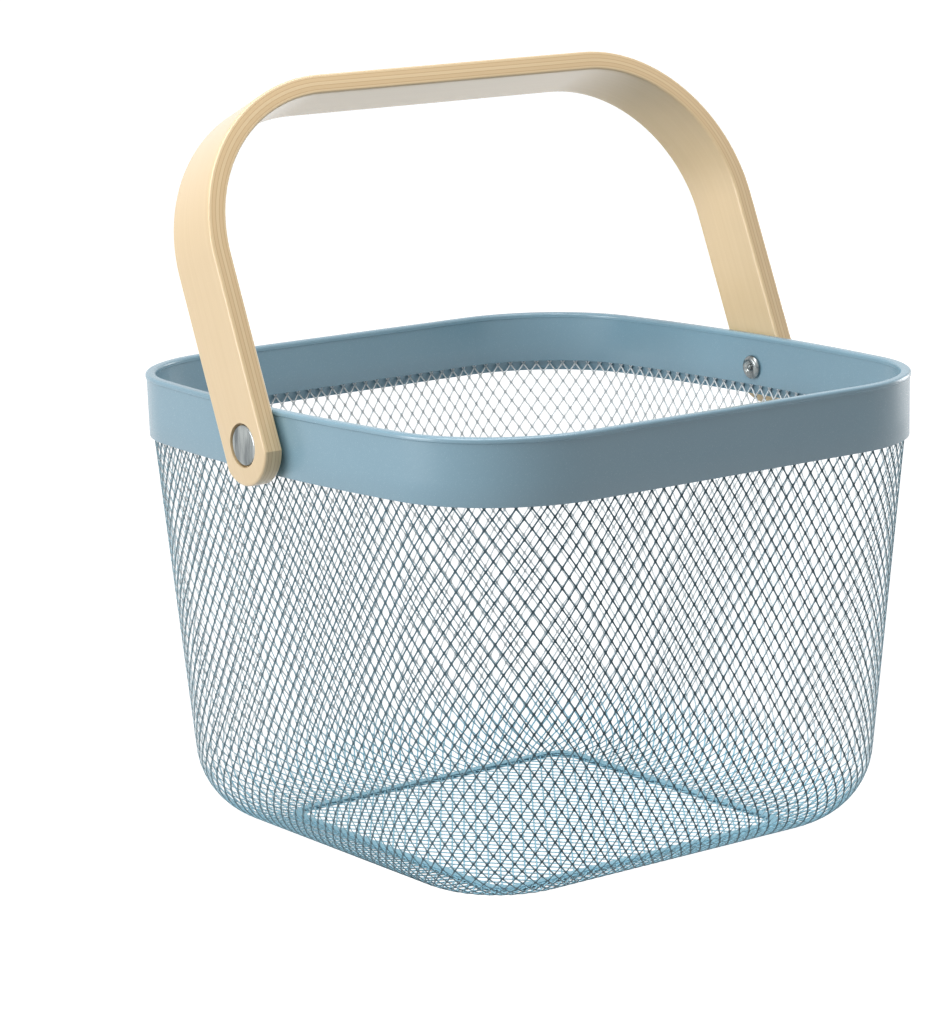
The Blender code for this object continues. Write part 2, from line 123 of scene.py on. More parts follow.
def add_node(tree: NodeTree, kind: str, inputs: dict | None = None, **settings: object) -> Node:
    """Add a shader node, set its options, and fill or link its inputs.

    Args:
        tree: The material's or world's node tree.
        kind: The node's type name, less its leading "ShaderNode".
        inputs: Socket name or number to a value, a hex colour, an output socket, or a node, which
            stands for its first output in use. A tuple of sockets takes a tuple of them.
        **settings: Options of the node itself.

    Returns:
        The new node.
    """
    node = tree.nodes.new("ShaderNode" + kind)
    for name, value in settings.items():
        setattr(node, name, value)
    for key, given in (inputs or {}).items():
        for entry, value in zip(key, given) if isinstance(key, tuple) else [(key, given)]:
            if isinstance(value, Node):
                value = next(socket for socket in value.outputs if socket.enabled)
            if isinstance(value, NodeSocket):
                tree.links.new(value, node.inputs[entry])
            else:
                node.inputs[entry].default_value = hex_to_linear(value) if isinstance(value, str) else value
    return node


def seen_directly(tree: NodeTree) -> Node:
    """Give one to rays from the camera, from a reflection or through something clear, or else nought.

    Args:
        tree: The node tree that takes the nodes.

    Returns:
        The node that gives it.
    """
    path = add_node(tree, "LightPath").outputs
    first = add_node(tree, "Math", {0: path["Is Camera Ray"], 1: path["Is Glossy Ray"]}, operation="MAXIMUM")
    return add_node(tree, "Math", {0: first, 1: path["Is Transmission Ray"]}, operation="MAXIMUM")


def put_in_scene(name: str, data: bpy.types.ID) -> Object:
    """Put a new object in the scene, at the origin.

    Args:
        name: The object's name.
        data: Its mesh, lamp or camera.

    Returns:
        The object.
    """
    thing = bpy.data.objects.new(name, data)
    bpy.context.scene.collection.objects.link(thing)
    return thing


class Finish:
    """A material, named for what the real one is and how its surface was made."""

    name: str

    def surface(self, tree: NodeTree) -> Node:
        """Add the surface's nodes to a tree and return its shader's node."""
        raise NotImplementedError

    def material(self) -> Material:
        """Build the material from its surface.

        Returns:
            The material.
        """
        material = bpy.data.materials.new(self.name)
        material.use_nodes = True
        tree = material.node_tree
        tree.nodes.clear()
        add_node(tree, "OutputMaterial", {"Surface": self.surface(tree)})
        return material


@dataclass(frozen=True)
class PowderCoat(Finish):
    """Baked polyester powder on steel: an even satin colour with a fine orange peel."""

    # The powder melts in an oven, so its highlights are soft and waver over waves of about 2 mm.
    # Real grit is a tenth of the size here, too fine to show, so it is drawn coarser.
    name: str = "powder_coated_steel"
    color: str = "#85ABBD"
    shade: str = "#7DA3B6"
    roughness: Point2 = (0.24, 0.29)
    peel_size: float = 0.0018
    peel_depth: float = 0.000004
    grit_size: float = 0.0003
    grit_depth: float = 0.0000005
    cloud_size: float = 0.045
    shine: float = 0.9
    ior: float = 1.5

    def tone(self, tree: NodeTree, place: NodeSocket) -> Node:
        """The coat's colour, which drifts slowly between two near tones.

        Args:
            tree: The node tree that takes the nodes.
            place: The surface's place on the piece.

        Returns:
            The node that gives the colour.
        """
        cloud = add_node(tree, "TexNoise", {"Vector": place, "Scale": 1 / self.cloud_size, "Detail": 3.0})
        return add_node(tree, "Mix", {SHARE: cloud, FIRST: self.color, SECOND: self.shade}, data_type="RGBA")

    def surface(self, tree: NodeTree) -> Node:
        """Build the coat: slow colour drift, orange peel, and fine grit in the gloss.

        Args:
            tree: The material's node tree.

        Returns:
            The shader's node.
        """
        place = add_node(tree, "TexCoord").outputs["Object"]
        peel = add_node(tree, "TexNoise", {"Vector": place, "Scale": 1 / self.peel_size, "Detail": 2.0})
        grit = add_node(tree, "TexNoise", {"Vector": place, "Scale": 1 / self.grit_size, "Detail": 1.0})
        gloss = add_node(tree, "MapRange", {"Value": grit, TO: self.roughness})
        waves = add_node(tree, "Bump", {"Height": peel, "Distance": self.peel_depth, "Strength": 1.0})
        grains = add_node(tree, "Bump", {
            "Height": grit, "Distance": self.grit_depth, "Strength": 1.0, "Normal": waves})
        return add_node(tree, "BsdfPrincipled", {
            "Base Color": self.tone(tree, place), "Roughness": gloss, "Normal": grains, "IOR": self.ior,
            "Specular IOR Level": self.shine})


@dataclass(frozen=True)
class MeshCoat(PowderCoat):
    """The same powder on expanded mesh, with painted shade outside and painted light on the cut sides and
    inside.
    """

    # The far walls, seen from inside through the mouth, look much paler than the near ones and turn light
    # blue round the foot: the inner faces take a nearly white tone as painted light, bluer low down, and
    # the outer faces a darker copy of the coat as painted shade. Where only cut sides show, the outline is
    # light blue, painted light on the cut sides. The knuckles are darkened as painted shade: dark dots on
    # near and far walls alike, less on the inner faces.
    name: str = "powder_coated_mesh"
    # The outer faces take this darker copy of the coat as painted shade.
    color: str = "#77939F"
    shade: str = "#708C98"
    roughness: Point2 = (0.48, 0.53)
    shine: float = 0.1
    # The cut sides take this lighter tone as painted light.
    cut_side_painted_light: str = "#A6CCDB"
    # The inner faces take this nearly white tone as painted light.
    inner: str = "#F7FCFE"
    # Near the foot, the inner faces' painted light turns this light blue.
    inner_foot_painted_light: str = "#A4DAEF"
    # The knuckles take this dark tone as painted shade.
    knuckle: str = "#566A73"
    inner_knuckle_shade_strength: float = 0.45
    foot_range: Point2 = (0.010, 0.030)
    middle_height: float = 0.12
    cut_side_facing: Point2 = (0.50, 0.10)
    inner_facing: Point2 = (0.15, -0.25)
    knuckle_reach: Point2 = (0.45, 0.95)

    def tone(self, tree: NodeTree, place: NodeSocket) -> Node:
        """The coat's colour with painted light and shade, by how far a face looks away from the basket's
        middle, and painted shade on the knuckles.

        Args:
            tree: The node tree that takes the nodes.
            place: The surface's place on the piece.

        Returns:
            The node that gives the colour.
        """
        full = super().tone(tree, place)
        normal = add_node(tree, "TexCoord").outputs["Normal"]
        from_middle = add_node(tree, "VectorMath", {0: place, 1: (0, 0, self.middle_height)},
                               operation="SUBTRACT")
        outwards = add_node(tree, "VectorMath", {0: from_middle}, operation="NORMALIZE")
        facing = add_node(tree, "VectorMath", {0: outwards, 1: normal}, operation="DOT_PRODUCT")
        # Painted light and shade by facing: darker outside, lighter cut sides, nearly white inside.
        cut = add_node(tree, "MapRange", {"Value": facing, FROM: self.cut_side_facing})
        inside = add_node(tree, "MapRange", {"Value": facing, FROM: self.inner_facing})
        height = add_node(tree, "SeparateXYZ", {"Vector": place}).outputs["Z"]
        risen = add_node(tree, "MapRange", {"Value": height, FROM: self.foot_range})
        pale = add_node(tree, "Mix", {SHARE: risen, FIRST: self.inner_foot_painted_light, SECOND: self.inner},
                        data_type="RGBA")
        outer = add_node(tree, "Mix", {SHARE: cut, FIRST: full, SECOND: self.cut_side_painted_light}, data_type="RGBA")
        sides = add_node(tree, "Mix", {SHARE: inside, FIRST: outer, SECOND: pale}, data_type="RGBA")
        # Painted shade on the knuckles, less of it on the inner faces.
        knuckle = add_node(tree, "Attribute", attribute_name=KNUCKLE).outputs["Fac"]
        knuckle_painted_shade = add_node(tree, "MapRange", {"Value": knuckle, FROM: self.knuckle_reach})
        knuckle_shade_strength = add_node(tree, "MapRange", {"Value": inside, TO: (1.0, self.inner_knuckle_shade_strength)})
        painted_knuckle_shade_mask = add_node(tree, "Math", {0: knuckle_painted_shade, 1: knuckle_shade_strength}, operation="MULTIPLY")
        return add_node(tree, "Mix", {SHARE: painted_knuckle_shade_mask, FIRST: sides, SECOND: self.knuckle}, data_type="RGBA")


@dataclass(frozen=True)
class BirchPlywood(Finish):
    """Bent birch plywood, clear lacquered: straight pale grain, and plies along every edge."""

    # Peeled birch is nearly even in colour: faint long streaks, thin darker glue lines at the
    # edges, and a soft sheen from the lacquer. Real pores are a third as wide as these, too fine
    # to show.
    name: str = "birch_plywood_lacquered"
    face: str = "#E8CDA1"
    streak: str = "#E1C596"
    cross_ply: str = "#E0C293"
    glue: str = "#CDA978"
    thickness: float = 0.0076
    plies: int = 5
    ply_margin: float = 0.001
    glue_line: float = 0.00012
    glue_fade: Point2 = (1.5, 0.5)
    glue_ends: Point2 = (0.003572, 0.003344)
    grain_width: float = 0.0011
    grain_length: float = 0.070
    streak_range: Point2 = (0.30, 0.85)
    pore_width: float = 0.00025
    pore_length: float = 0.006
    pore_depth: float = 0.00001
    roughness: Point2 = (0.29, 0.42)
    lacquer_roughness: float = 0.28
    ior: float = 1.5

    def surface(self, tree: NodeTree) -> Node:
        """Build the wood from the strip's own length, width and depth, kept in an attribute.

        Args:
            tree: The material's node tree.

        Returns:
            The shader's node.
        """
        place = add_node(tree, "Attribute", attribute_name=STRIP_PLACE).outputs["Vector"]
        parts = add_node(tree, "SeparateXYZ", {"Vector": place})
        grain_place = add_node(tree, "Mapping", {
            "Vector": place, "Scale": (1 / self.grain_length, 1 / self.grain_width, 1 / self.grain_width)})
        grain = add_node(tree, "TexNoise", {
            "Vector": grain_place, "Scale": 1.0, "Detail": 4.0, "Roughness": 0.6})
        pore_place = add_node(tree, "Mapping", {
            "Vector": place, "Scale": (1 / self.pore_length, 1 / self.pore_width, 1 / self.pore_width)})
        pores = add_node(tree, "TexNoise", {"Vector": pore_place, "Scale": 1.0, "Detail": 2.0})
        streaks = add_node(tree, "MapRange", {"Value": grain, FROM: self.streak_range})
        veneer = add_node(tree, "Mix", {SHARE: streaks, FIRST: self.face, SECOND: self.streak},
                          data_type="RGBA")
        # The depth in plies: its whole part picks the ply, and its fraction finds the glue lines.
        depth = add_node(tree, "MapRange", {
            "Value": parts.outputs["Z"], FROM: (-self.thickness / 2, self.thickness / 2),
            TO: (self.ply_margin, self.plies - self.ply_margin)})
        within = add_node(tree, "Math", {0: depth}, operation="FRACT")
        layer = add_node(tree, "Math", {0: depth}, operation="FLOOR")
        odd = add_node(tree, "Math", {0: layer, 1: 2.0}, operation="MODULO")
        plies = add_node(tree, "Mix", {SHARE: odd, FIRST: veneer, SECOND: self.cross_ply},
                         data_type="RGBA")
        glue_share = self.glue_line / (self.thickness / self.plies)
        fade = [0.5 - glue_share * widths for widths in self.glue_fade]
        from_middle = add_node(tree, "Math", {0: within, 1: 0.5}, operation="SUBTRACT")
        off_middle = add_node(tree, "Math", {0: from_middle}, operation="ABSOLUTE")
        seam = add_node(tree, "MapRange", {"Value": off_middle, FROM: fade})
        # No glue line lies on the strip's two faces.
        out = add_node(tree, "Math", {0: parts.outputs["Z"]}, operation="ABSOLUTE")
        under_face = add_node(tree, "MapRange", {"Value": out, FROM: self.glue_ends})
        glued = add_node(tree, "Math", {0: seam, 1: under_face}, operation="MULTIPLY")
        wood = add_node(tree, "Mix", {SHARE: glued, FIRST: plies, SECOND: self.glue}, data_type="RGBA")
        relief = add_node(tree, "Bump", {"Height": pores, "Distance": self.pore_depth, "Strength": 1.0})
        gloss = add_node(tree, "MapRange", {"Value": pores, TO: self.roughness})
        return add_node(tree, "BsdfPrincipled", {
            "Base Color": wood, "Roughness": gloss, "Normal": relief, "IOR": self.ior,
            "Coat Weight": 1.0, "Coat Roughness": self.lacquer_roughness, "Coat IOR": self.ior})


@dataclass(frozen=True)
class PlatedSteel(Finish):
    """Nickel-plated steel, pressed and tumbled."""

    # Plating is bright, and tumbling and handling leave soft upright streaks that catch the light.
    name: str = "plated_steel_rivet"
    color: str = "#A6ABAA"
    worn: str = "#6C7274"
    roughness: Point2 = (0.14, 0.34)
    streak_width: float = 0.0022
    streak_length: float = 0.016
    streak_range: Point2 = (0.35, 0.65)
    streak_depth: float = 0.000004

    def surface(self, tree: NodeTree) -> Node:
        """Build the metal, streaked along Z on the rivet's flat head.

        Args:
            tree: The material's node tree.

        Returns:
            The shader's node.
        """
        place = add_node(tree, "TexCoord").outputs["Object"]
        drawn = add_node(tree, "Mapping", {
            "Vector": place, "Scale": (1 / self.streak_width, 1 / self.streak_width, 1 / self.streak_length)})
        streaks = add_node(tree, "TexNoise", {
            "Vector": drawn, "Scale": 1.0, "Detail": 3.0, "Roughness": 0.55})
        banded = add_node(tree, "MapRange", {"Value": streaks, FROM: self.streak_range})
        tint = add_node(tree, "Mix", {SHARE: banded, FIRST: self.color, SECOND: self.worn},
                        data_type="RGBA")
        gloss = add_node(tree, "MapRange", {"Value": streaks, TO: self.roughness})
        relief = add_node(tree, "Bump", {
            "Height": streaks, "Distance": self.streak_depth, "Strength": 1.0})
        return add_node(tree, "BsdfPrincipled", {
            "Base Color": tint, "Metallic": 1.0, "Roughness": gloss, "Normal": relief})


@dataclass(frozen=True)
class MouldedNylon(Finish):
    """Natural nylon, injection moulded in a spark-eroded tool."""

    # It looks milky and dull. The real texture is about 0.1 mm, too fine to show, so it is drawn
    # four times as coarse.
    name: str = "natural_nylon_moulded"
    color: str = "#CFCEC6"
    shade: str = "#C3C2B8"
    roughness: float = 0.5
    texture_size: float = 0.0004
    texture_depth: float = 0.000006
    ior: float = 1.53

    def surface(self, tree: NodeTree) -> Node:
        """Build the plastic with its moulded texture in colour and bump.

        Args:
            tree: The material's node tree.

        Returns:
            The shader's node.
        """
        place = add_node(tree, "TexCoord").outputs["Object"]
        speckle = add_node(tree, "TexNoise", {
            "Vector": place, "Scale": 1 / self.texture_size, "Detail": 2.0})
        tint = add_node(tree, "Mix", {SHARE: speckle, FIRST: self.color, SECOND: self.shade},
                        data_type="RGBA")
        relief = add_node(tree, "Bump", {
            "Height": speckle, "Distance": self.texture_depth, "Strength": 1.0})
        return add_node(tree, "BsdfPrincipled", {
            "Base Color": tint, "Roughness": self.roughness, "Normal": relief, "IOR": self.ior})


@dataclass(frozen=True)
class StudioPaper(Finish):
    """Matt white paper, rolled out as a floor."""

    # It looks white to the camera, a little less so near the basket, and takes the shadow softly.
    name: str = "white_studio_paper"
    color: str = "#C0C0C0"
    glow: Point2 = (0.80, 1.0)
    glow_reach: Point2 = (0.25, 1.3)

    def surface(self, tree: NodeTree) -> Node:
        """Build the paper, with a glow that only direct rays see and that lights nothing.

        Args:
            tree: The material's node tree.

        Returns:
            The shader's node.
        """
        paper = add_node(tree, "BsdfDiffuse", {"Color": self.color})
        place = add_node(tree, "TexCoord").outputs["Object"]
        away = add_node(tree, "VectorMath", {0: place}, operation="LENGTH")
        level = add_node(tree, "MapRange", {"Value": away, FROM: self.glow_reach, TO: self.glow})
        glow = add_node(tree, "Emission", {"Color": WHITE, "Strength": level})
        lit = add_node(tree, "AddShader", {0: paper, 1: glow})
        return add_node(tree, "MixShader", {0: seen_directly(tree), 1: paper, 2: lit})


@dataclass(frozen=True)
class Finishes:
    """The materials that the pieces share."""

    coat: Material
    strip_coat: Material
    mesh_coat: Material
    plywood: Material
    steel: Material
    nylon: Material

    @classmethod
    def make(cls) -> "Finishes":
        """Build each finish once. The strip's coat is paler, as painted light, and duller.

        Returns:
            The finishes.
        """
        return cls(
            coat=PowderCoat().material(),
            # The strip takes this paler copy of the coat as painted light.
            strip_coat=PowderCoat(name="powder_coated_strip_painted_light", color="#9CCBDD", shade="#94C3D6",
                                  roughness=(0.48, 0.53), shine=0.2).material(),
            mesh_coat=MeshCoat().material(),
            plywood=BirchPlywood().material(),
            steel=PlatedSteel().material(),
            nylon=MouldedNylon().material(),
        )


def fix_order(bm: BMesh) -> None:
    """Number a mesh by place, since Blender's operators leave an order that changes from run to run.

    Args:
        bm: The mesh.
    """
    direction = Vector(SORT_DIRECTION)
    bm.verts.sort(key=lambda vert: vert.co.dot(direction))
    bm.verts.index_update()
    count = len(bm.verts)

    def rank(item: BMEdge | BMFace) -> int:
        """Return one number for an edge or face, made of its lowest two or three vertex numbers."""
        lowest = sorted((vert.index for vert in item.verts), reverse=True)[-3:]
        return sum(index * count ** power for power, index in enumerate(lowest))

    bm.edges.sort(key=rank)
    bm.faces.sort(key=rank)


def finish_piece(
    name: str, bm: BMesh, material: Material, nodes: Sequence[str],
    body: Body = Body.BASKET, sharp: float | None = 35.0,
) -> Object:
    """Turn a bmesh into a finished piece that rides on a body and stands for CAD nodes.

    Args:
        name: The piece's name.
        bm: Its mesh, in place. It is freed.
        material: Its finish.
        nodes: The CAD nodes it stands for.
        body: The body it rides on.
        sharp: The angle in degrees from which an edge is shaded sharp. None shades every face flat.

    Returns:
        The piece's object.
    """
    fix_order(bm)
    mesh = bpy.data.meshes.new(name)
    bm.to_mesh(mesh)
    bm.free()
    if sharp is not None:
        mesh.shade_smooth()
        mesh.set_sharp_from_angle(angle=math.radians(sharp))
    mesh.materials.append(material)
    piece = put_in_scene(name, mesh)
    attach(piece, body.value)
    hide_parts(*nodes)
    LOG.info("%s: %d faces", name, len(mesh.polygons))
    return piece


def add_wall(piece: Object, thickness: float, offset: float, even: bool = True) -> None:
    """Give a sheet piece its thickness.

    Args:
        piece: The sheet.
        thickness: The wall's thickness.
        offset: -1 grows it behind the faces and 0 both ways.
        even: Whether sharp folds keep the full thickness.
    """
    wall = piece.modifiers.new("wall", "SOLIDIFY")
    wall.thickness = thickness
    wall.offset = offset
    wall.use_even_offset = even


def add_eased_edges(piece: Object, width: float, segments: int = 2, angle: float = 50.0) -> None:
    """Round a piece's sharp edges.

    Args:
        piece: The piece.
        width: The rounding's width.
        segments: Its steps.
        angle: The least angle in degrees between faces that is rounded.
    """
    edges = piece.modifiers.new("eased_edges", "BEVEL")
    edges.width = width
    edges.segments = segments
    edges.limit_method = "ANGLE"
    edges.angle_limit = math.radians(angle)


@dataclass(frozen=True)
class Outline:
    """A rounded square seen from above, whose sides across the hinge may bow outwards."""

    half_x: float
    half_y: float
    corner: float
    bow: float = 0.0

    def grown(self, offset: float) -> "Outline":
        """Return the outline moved outwards all round."""
        return Outline(self.half_x + offset, self.half_y + offset, self.corner + offset, self.bow)

    def towards(self, other: "Outline", share: float) -> "Outline":
        """Return the outline a share of the way to another one."""
        return Outline(mix(self.half_x, other.half_x, share), mix(self.half_y, other.half_y, share),
                       mix(self.corner, other.corner, share), mix(self.bow, other.bow, share))

    def quadrant_point(self, share: float) -> Point2:
        """A point of the first quadrant: along the bowed side, round the corner, then straight.

        Args:
            share: How far along the quadrant it lies, from +X to +Y.

        Returns:
            The point.
        """
        bow = max(self.bow, LEAST_BOW)
        corner = max(self.corner, LEAST_CORNER)
        corner_x = self.half_x - corner - bow
        corner_y = self.half_y - corner
        side_radius = (corner_y ** 2 + bow ** 2) / (2 * bow) + corner
        side_angle = math.asin(corner_y / (side_radius - corner))
        side_length = side_radius * side_angle
        corner_length = corner * (math.pi / 2 - side_angle)
        length = share * (side_length + corner_length + corner_x)
        if length < side_length:
            angle = length / side_radius
            return self.half_x - side_radius * (1 - math.cos(angle)), side_radius * math.sin(angle)
        length -= side_length
        if length < corner_length:
            angle = side_angle + length / corner
            return corner_x + corner * math.cos(angle), corner_y + corner * math.sin(angle)
        return corner_x - (length - corner_length), self.half_y

    def point(self, share: float) -> Point2:
        """A point a share of the way round.

        Args:
            share: How far round it lies, counterclockwise from +X.

        Returns:
            The point.
        """
        quadrant, part = divmod(share * 4, 1)
        quadrant = int(quadrant) % 4
        x, y = self.quadrant_point(1 - part if quadrant in (1, 3) else part)
        return (-x if quadrant in (1, 2) else x), (-y if quadrant in (2, 3) else y)


def merge(bm: BMesh) -> None:
    """Merge vertices that lie in one place."""
    bmesh.ops.remove_doubles(bm, verts=bm.verts[:], dist=MERGE_DISTANCE)


def shift(bm: BMesh, offset: Point3) -> None:
    """Move a whole mesh."""
    bmesh.ops.translate(bm, vec=offset, verts=bm.verts[:])


def point_outwards(bm: BMesh) -> None:
    """Turn the faces of a mesh outwards."""
    bmesh.ops.recalc_face_normals(bm, faces=bm.faces[:])


def swept_sheet(profile: Sequence[Point2], outline: Outline, segments: int) -> BMesh:
    """Sweep a profile round an outline as one sheet, faces outwards.

    Args:
        profile: Points as (offset outwards, height), listed from the outer foot upwards.
        outline: The path of offset zero.
        segments: The steps round it.

    Returns:
        The sheet, merged where its ends meet.
    """
    bm = bmesh.new()
    rows = len(profile) - 1
    bmesh.ops.create_grid(bm, x_segments=segments, y_segments=rows, size=0.5)
    paths = [outline.grown(offset) for offset, _ in profile]
    for vert in bm.verts:
        row = round((vert.co.y + 0.5) * rows)
        x, y = paths[row].point(vert.co.x + 0.5)
        vert.co = Vector((x, y, profile[row][1]))
    merge(bm)
    return bm


def turned(profile: Sequence[Point2], steps: int, side: Side, start: float, height: float) -> BMesh:
    """Turn a closed profile about the hinge axis.

    Args:
        profile: Points as (radius, distance out of the basket), from the outer middle to the inner.
        steps: The steps of the full turn.
        side: Which end of the hinge.
        start: The distance of the profile's zero from the middle of the basket.
        height: The hinge's height.

    Returns:
        The closed turned shape, in place.
    """
    bm = bmesh.new()
    verts = [bm.verts.new((radius, 0, out)) for radius, out in profile]
    edges = [bm.edges.new(pair) for pair in zip(verts, verts[1:])]
    bmesh.ops.spin(bm, geom=verts + edges, cent=(0, 0, 0), axis=(0, 0, 1), steps=steps,
                   angle=math.tau, use_merge=True)
    merge(bm)
    place = Matrix.Translation((side.value * start, 0, height))
    outwards = Matrix.Rotation(side.value * math.pi / 2, 4, "Y")
    bmesh.ops.transform(bm, matrix=place @ outwards, verts=bm.verts[:])
    point_outwards(bm)
    return bm


@dataclass(frozen=True)
class ExpandedSteel:
    """Expanded steel sheet: slit and stretched into diamonds that meet at filled, tipped knuckles."""

    strand: float = 0.00047
    sheet: float = 0.00032
    twist: float = 0.00010
    knuckle_twist: float = 0.00012
    knuckle_fill: float = 0.00015
    knuckle_share: float = 0.85

    def diamonds(self, columns: int, rows: int) -> BMesh:
        """A flat unit sheet of diamonds, whose grid edges are still there and marked as seams.

        Args:
            columns: Diamonds across.
            rows: Diamonds down.

        Returns:
            The sheet, from (0, 0) to (1, 1), with the layer that marks knuckles.
        """
        bm = bmesh.new()
        bm.verts.layers.float.new(KNUCKLE)
        bmesh.ops.create_grid(bm, x_segments=columns, y_segments=rows, size=0.5)
        shift(bm, (0.5, 0.5, 0))
        for edge in bm.edges:
            first, second = edge.verts
            edge.seam = not edge.is_boundary or abs(first.co.x - second.co.x) < MERGE_DISTANCE
        bmesh.ops.poke(bm, faces=bm.faces[:])
        return bm

    def join(self, bm: BMesh) -> None:
        """Dissolve the marked grid edges, which leaves whole diamonds."""
        marked = [edge for edge in bm.edges if edge.seam and len(edge.link_faces) == 2]
        bmesh.ops.dissolve_edges(bm, edges=marked, use_verts=False)

    def open(self, bm: BMesh, faces: list[BMFace]) -> None:
        """Cut the diamonds out and twist the strands between them.

        Args:
            bm: The sheet, shaped and with its faces outwards.
            faces: The diamonds.
        """
        sides = list(dict.fromkeys(edge for face in faces for edge in face.edges))
        layer = bm.verts.layers.float[KNUCKLE]
        for vert in bm.verts:
            vert[layer] = 1.0
        for item in bmesh.ops.bisect_edges(bm, edges=sides, cuts=2)["geom_split"]:
            if isinstance(item, BMVert):
                item[layer] = 0.0
        bmesh.ops.inset_individual(bm, faces=faces, thickness=self.strand / 2, use_even_offset=True)
        bm.normal_update()
        for face in faces:
            self.twist_round(face, layer)
        bmesh.ops.delete(bm, geom=faces, context="FACES_ONLY")

    def twist_round(self, face: BMFace, layer: BMLayerItem) -> None:
        """Tip the metal round one opening, out along its foot and in along its head, and fill corners.

        Args:
            face: The opening's face.
            layer: The vertex layer that marks the knuckles.
        """
        normal = face.normal.copy()
        right = Vector((0, 0, 1)).cross(normal)
        right = right.normalized() if right.length > LEAST_SLANT else Vector((1, 0, 0))
        up = normal.cross(right)
        middle = face.calc_center_median()
        places = [((vert.co - middle).dot(right), (vert.co - middle).dot(up)) for vert in face.verts]
        reach_right = max(abs(place[0]) for place in places)
        reach_up = max(abs(place[1]) for place in places)
        for vert, place in zip(list(face.verts), places):
            across, along = place[0] / reach_right, place[1] / reach_up
            at_corner = max(abs(across), abs(along)) > self.knuckle_share
            vert[layer] = 1.0 if at_corner else 0.0
            if at_corner:
                inwards = (middle - vert.co).normalized()
                vert.co += inwards * self.knuckle_fill - normal * self.knuckle_twist * along
            else:
                vert.co -= normal * math.copysign(self.twist, along)


def quarter_of(point: Vector) -> int:
    """Return which quarter turn from +X a point lies in, from 0 to 3."""
    return int(math.atan2(point.y, point.x) % math.tau / (math.pi / 2))


@dataclass
class Tub:
    """The basket's wall: where its sheet runs, from inside the band down to the base strip."""

    rim: Outline = Outline(0.1182, 0.1230, 0.0503, 0.0043)
    foot: Outline = Outline(0.1094, 0.1087, 0.0510)
    seat: Outline = Outline(0.0712, 0.0727, 0.0127)
    band_edge: float = 0.1595
    seat_height: float = 0.0012
    bottom_radius: float = 0.0316
    slope: float = math.radians(8)
    selvage_top: float = 0.1770
    net_top: float = 0.1622
    seat_grip: float = 0.0012
    columns: int = 154
    rows: int = 24
    steel: ExpandedSteel = ExpandedSteel()

    def __post_init__(self) -> None:
        """Work out the section's stretches: the leaning side, the bottom curve, the slope."""
        self.curve_end = math.pi / 2 - self.slope
        drop = self.bottom_radius * (1 - math.cos(self.curve_end))
        run = (self.foot.half_x + self.foot.half_y - self.seat.half_x - self.seat.half_y) / 2 - drop
        self.slope_length = run / math.cos(self.slope)
        self.curve_centre = (self.seat_height + run * math.tan(self.slope)
                             + self.bottom_radius * math.sin(self.curve_end))
        side_run = (self.rim.half_x + self.rim.half_y - self.foot.half_x - self.foot.half_y) / 2
        self.lean = math.atan2(side_run, self.band_edge - self.curve_centre)
        self.curve_start = self.curve_centre - self.bottom_radius * math.sin(self.lean)
        self.side_length = math.hypot(self.net_top - self.curve_start, side_run)
        self.curve_length = self.bottom_radius * (self.curve_end - self.lean)
        self.net_length = self.side_length + self.curve_length + self.slope_length

    def level(self, length: float) -> tuple[Outline, float]:
        """The sheet's outline and height at a length down its section.

        Args:
            length: Metres down from the net's top edge. Negative is up inside the band.

        Returns:
            The outline and its height.
        """
        if length <= self.side_length:
            height = mix(self.net_top, self.curve_start, length / self.side_length)
            share = min(max((self.band_edge - height) / (self.band_edge - self.curve_start), 0), 1)
            return self.rim.towards(self.foot, share), height
        length -= self.side_length
        angle = self.lean + min(length, self.curve_length) / self.bottom_radius
        inset = self.bottom_radius * (math.cos(self.lean) - math.cos(angle))
        height = self.curve_centre - self.bottom_radius * math.sin(angle)
        outline = self.foot.grown(-inset)
        if length <= self.curve_length:
            return outline, height
        length -= self.curve_length
        share = min(length / self.slope_length, 1)
        tucked = max(length - self.slope_length, 0)
        return outline.towards(self.seat, share).grown(-tucked), mix(height, self.seat_height, share)

    def sheet(self) -> BMesh:
        """Wrap the flat diamonds into the tub, with a plain edge grown at the top and the foot.

        Returns:
            The opened net, with its plain faces.
        """
        bm = self.steel.diamonds(self.columns, self.rows)
        bmesh.ops.scale(bm, vec=(1, self.net_length, 1), verts=bm.verts[:])
        for height, width in ((0.0, self.net_top - self.selvage_top), (self.net_length, self.seat_grip)):
            edges = [edge for edge in bm.edges
                     if all(abs(vert.co.y - height) < MERGE_DISTANCE for vert in edge.verts)]
            grown = bmesh.ops.extrude_edge_only(bm, edges=edges)["geom"]
            bmesh.ops.translate(bm, vec=(0, width, 0),
                                verts=[item for item in grown if isinstance(item, BMVert)])
        plain = bm.faces.layers.int.new("plain")
        for face in bm.faces:
            face[plain] = not 0 < face.calc_center_median().y < self.net_length
        for vert in bm.verts:
            outline, height = self.level(vert.co.y)
            vert.co = Vector((*outline.point(vert.co.x), height))
        merge(bm)
        self.steel.join(bm)
        bmesh.ops.reverse_faces(bm, faces=bm.faces[:])
        bm.normal_update()
        self.steel.open(bm, [face for face in bm.faces if not face[plain]])
        return bm

    def build(self, finishes: Finishes) -> None:
        """Make the wall in quarters, so that each stays light enough to store.

        Args:
            finishes: The materials that the pieces share.
        """
        whole = self.sheet()
        for number in range(4):
            quarter = whole.copy()
            other = [face for face in quarter.faces if quarter_of(face.calc_center_median()) != number]
            bmesh.ops.delete(quarter, geom=other, context="FACES")
            piece = finish_piece(f"wall_mesh_quarter_{number + 1}", quarter, finishes.mesh_coat,
                                 ["wall_mesh"], sharp=None)
            add_wall(piece, self.steel.sheet, 0, even=False)
        whole.free()


